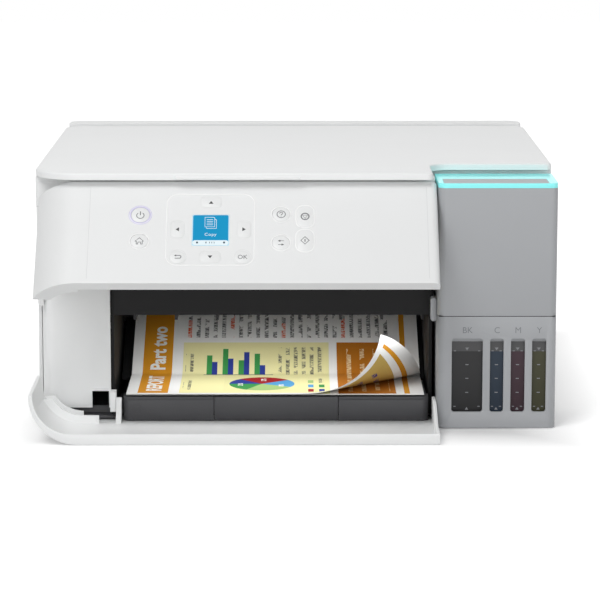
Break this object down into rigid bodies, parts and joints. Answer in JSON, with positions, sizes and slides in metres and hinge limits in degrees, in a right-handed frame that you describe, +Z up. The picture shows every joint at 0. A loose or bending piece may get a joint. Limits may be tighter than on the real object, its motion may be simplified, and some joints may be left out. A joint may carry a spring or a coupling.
{
  "type": "inkjet printer",
  "caption": "All-in-one inkjet printer with side ink tanks, tilting control panel, flatbed lid, drop-down front cover and sliding output tray.",
  "frame": {"origin": "on the supporting surface, under the middle of the whole printer as it stands with its front cover lowered", "axes": "+X to the right seen from the front, +Y to the back, +Z up"},
  "size_m": [0.375, 0.402, 0.187],
  "materials": {
    "white_abs": "fine spark-eroded satin, moulded",
    "key_white": "smooth satin, moulded",
    "panel_back": "satin, moulded",
    "grey_abs": "satin, moulded",
    "dark_abs": "leather-grained, moulded",
    "black_abs": "matte, moulded",
    "display": "backlit colour display behind a clear window",
    "light_guide": "clear acrylic light guide, lit from behind",
    "tank_black": "translucent smoky polypropylene over black ink",
    "tank_cyan": "translucent smoky polypropylene over cyan ink",
    "tank_magenta": "translucent smoky polypropylene over magenta ink",
    "tank_yellow": "translucent smoky polypropylene over yellow ink",
    "cap_black": "satin",
    "cap_cyan": "satin",
    "cap_magenta": "satin",
    "cap_yellow": "satin",
    "tube": "translucent silicone",
    "glass": "float glass over a dark well",
    "steel": "zinc-plated sheet",
    "rubber": "matte",
    "paper": "plain office paper with a colour print",
    "foam": "white film over foam",
    "nylon": "natural acetal",
    "circuit_board": "green solder mask"
  },
  "bodies": {
    "chassis": {"base_pan": "dark_abs", "rubber_feet": "rubber", "left_side_cover": "white_abs", "right_side_cover": "white_abs", "rear_cover": "white_abs", "front_frame": "white_abs", "output_bay": "black_abs", "exit_ramp": "black_abs", "tank_case": "grey_abs", "ink_tank_black": "tank_black", "ink_tank_cyan": "tank_cyan", "ink_tank_magenta": "tank_magenta", "ink_tank_yellow": "tank_yellow", "ink_tubes": "tube", "sheet_feeder": "black_abs", "carriage_rail": "steel", "timing_belt": "rubber", "carriage_motor": "steel", "platen": "black_abs", "capping_station": "dark_abs", "mainboard": "circuit_board", "power_supply": "steel", "rear_sockets": "black_abs"},
    "front_cover": {"front_cover": "white_abs"},
    "tray": {"output_tray": "dark_abs"},
    "extension": {"tray_extension": "dark_abs"},
    "pages": {"printed_pages": "paper"},
    "panel": {"control_panel": "white_abs", "panel_back": "panel_back", "lcd_screen": "display"},
    "power_key": {"power_button": "key_white"},
    "home_key": {"home_button": "key_white"},
    "help_key": {"help_button": "key_white"},
    "page_key": {"page_button": "key_white"},
    "stop_key": {"stop_button": "key_white"},
    "start_key": {"start_button": "key_white"},
    "arrows": {"arrow_keys": "key_white"},
    "back": {"back_key": "key_white"},
    "ok": {"ok_key": "key_white"},
    "tank_lid": {"tank_cover": "grey_abs", "led_light_guide": "light_guide"},
    "cap_black": {"ink_cap_black": "cap_black"},
    "cap_cyan": {"ink_cap_cyan": "cap_cyan"},
    "cap_magenta": {"ink_cap_magenta": "cap_magenta"},
    "cap_yellow": {"ink_cap_yellow": "cap_yellow"},
    "scanner": {"scanner_base": "white_abs", "scanner_top_frame": "white_abs", "scanner_glass": "glass", "cis_rod": "steel"},
    "image_sensor": {"cis_bar": "black_abs"},
    "lid": {"document_lid": "white_abs", "document_mat": "foam"},
    "feed_lid": {"rear_feed_cover": "white_abs"},
    "left_guide": {"left_edge_guide": "dark_abs"},
    "right_guide": {"right_edge_guide": "dark_abs"},
    "pickup": {"pickup_roller": "rubber"},
    "feed": {"feed_roller": "steel"},
    "eject": {"eject_roller": "rubber"},
    "gear": {"drive_gear": "nylon"},
    "carriage": {"carriage": "dark_abs"}
  },
  "joints": [
    {"name": "front_cover_hinge", "type": "hinge", "parent": "chassis", "child": "front_cover", "pos_m": [-0.128, -0.131, 0.0155], "axis": [1, 0, 0], "range_deg": [-90, 0]},
    {"name": "tray_slide", "type": "slide", "parent": "chassis", "child": "tray", "axis": [0, -1, 0], "range_m": [0, 0.04]},
    {"name": "extension_slide", "type": "slide", "parent": "tray", "child": "extension", "axis": [0, -1, 0], "range_m": [0, 0.055]},
    {"name": "page_slide", "type": "slide", "parent": "chassis", "child": "pages", "axis": [0, -1, 0], "range_m": [0, 0.1]},
    {"name": "panel_tilt", "type": "hinge", "parent": "chassis", "child": "panel", "pos_m": [0, -0.138, 0.169], "axis": [1, 0, 0], "range_deg": [0, 44]},
    {"name": "power_key_press", "type": "slide", "parent": "panel", "child": "power_key", "axis": [0, 0.7193, -0.6947], "range_m": [0, 0.0006], "stiffness_N_per_m": 800},
    {"name": "home_key_press", "type": "slide", "parent": "panel", "child": "home_key", "axis": [0, 0.7193, -0.6947], "range_m": [0, 0.0006], "stiffness_N_per_m": 800},
    {"name": "help_key_press", "type": "slide", "parent": "panel", "child": "help_key", "axis": [0, 0.7193, -0.6947], "range_m": [0, 0.0006], "stiffness_N_per_m": 800},
    {"name": "page_key_press", "type": "slide", "parent": "panel", "child": "page_key", "axis": [0, 0.7193, -0.6947], "range_m": [0, 0.0006], "stiffness_N_per_m": 800},
    {"name": "stop_key_press", "type": "slide", "parent": "panel", "child": "stop_key", "axis": [0, 0.7193, -0.6947], "range_m": [0, 0.0006], "stiffness_N_per_m": 800},
    {"name": "start_key_press", "type": "slide", "parent": "panel", "child": "start_key", "axis": [0, 0.7193, -0.6947], "range_m": [0, 0.0006], "stiffness_N_per_m": 800},
    {"name": "arrows_press", "type": "slide", "parent": "panel", "child": "arrows", "axis": [0, 0.7193, -0.6947], "range_m": [0, 0.0006], "stiffness_N_per_m": 800},
    {"name": "back_press", "type": "slide", "parent": "panel", "child": "back", "axis": [0, 0.7193, -0.6947], "range_m": [0, 0.0006], "stiffness_N_per_m": 800},
    {"name": "ok_press", "type": "slide", "parent": "panel", "child": "ok", "axis": [0, 0.7193, -0.6947], "range_m": [0, 0.0006], "stiffness_N_per_m": 800},
    {"name": "tank_cover_hinge", "type": "hinge", "parent": "chassis", "child": "tank_lid", "pos_m": [0.106, -0.098, 0.172], "axis": [-1, 0, 0], "range_deg": [0, 55]},
    {"name": "cap_black_hinge", "type": "hinge", "parent": "chassis", "child": "cap_black", "pos_m": [0.12355, -0.108, 0.1256], "axis": [-1, 0, 0], "range_deg": [0, 105]},
    {"name": "cap_cyan_hinge", "type": "hinge", "parent": "chassis", "child": "cap_cyan", "pos_m": [0.1448, -0.108, 0.1256], "axis": [-1, 0, 0], "range_deg": [0, 105]},
    {"name": "cap_magenta_hinge", "type": "hinge", "parent": "chassis", "child": "cap_magenta", "pos_m": [0.15995, -0.108, 0.1256], "axis": [-1, 0, 0], "range_deg": [0, 105]},
    {"name": "cap_yellow_hinge", "type": "hinge", "parent": "chassis", "child": "cap_yellow", "pos_m": [0.1752, -0.108, 0.1256], "axis": [-1, 0, 0], "range_deg": [0, 105]},
    {"name": "scanner_lift", "type": "hinge", "parent": "chassis", "child": "scanner", "pos_m": [-0.14, 0.1715, 0.174], "axis": [1, 0, 0], "range_deg": [-28, 0]},
    {"name": "sensor_slide", "type": "slide", "parent": "scanner", "child": "image_sensor", "axis": [1, 0, 0], "range_m": [0, 0.272]},
    {"name": "lid_hinge", "type": "hinge", "parent": "scanner", "child": "lid", "pos_m": [-0.122, 0.1695, 0.181], "axis": [-1, 0, 0], "range_deg": [0, 80]},
    {"name": "feed_cover_hinge", "type": "hinge", "parent": "chassis", "child": "feed_lid", "pos_m": [-0.1485, 0.1986, 0.1802], "axis": [-1, 0, 0], "range_deg": [0, 90]},
    {"name": "left_guide_slide", "type": "slide", "parent": "chassis", "child": "left_guide", "axis": [1, 0, 0], "range_m": [0, 0.055]},
    {"name": "right_guide_slide", "type": "slide", "parent": "chassis", "child": "right_guide", "axis": [-1, 0, 0], "range_m": [0, 0.055]},
    {"name": "pickup_spin", "type": "hinge", "parent": "chassis", "child": "pickup", "pos_m": [0, 0.139, 0.078], "axis": [1, 0, 0], "continuous": true},
    {"name": "feed_spin", "type": "hinge", "parent": "chassis", "child": "feed", "pos_m": [0, 0.059, 0.0532], "axis": [1, 0, 0], "continuous": true},
    {"name": "eject_spin", "type": "hinge", "parent": "chassis", "child": "eject", "pos_m": [0, 0.01, 0.0532], "axis": [1, 0, 0], "continuous": true},
    {"name": "gear_spin", "type": "hinge", "parent": "chassis", "child": "gear", "pos_m": [-0.176, 0.0345, 0.0532], "axis": [1, 0, 0], "continuous": true},
    {"name": "carriage_slide", "type": "slide", "parent": "chassis", "child": "carriage", "axis": [-1, 0, 0], "range_m": [0, 0.25]}
  ],
  "couplings": [
    {"joint": "right_guide_slide", "follows": "left_guide_slide", "ratio": 1},
    {"joint": "eject_spin", "follows": "feed_spin", "ratio": 1},
    {"joint": "gear_spin", "follows": "feed_spin", "ratio": -1.4}
  ]
}
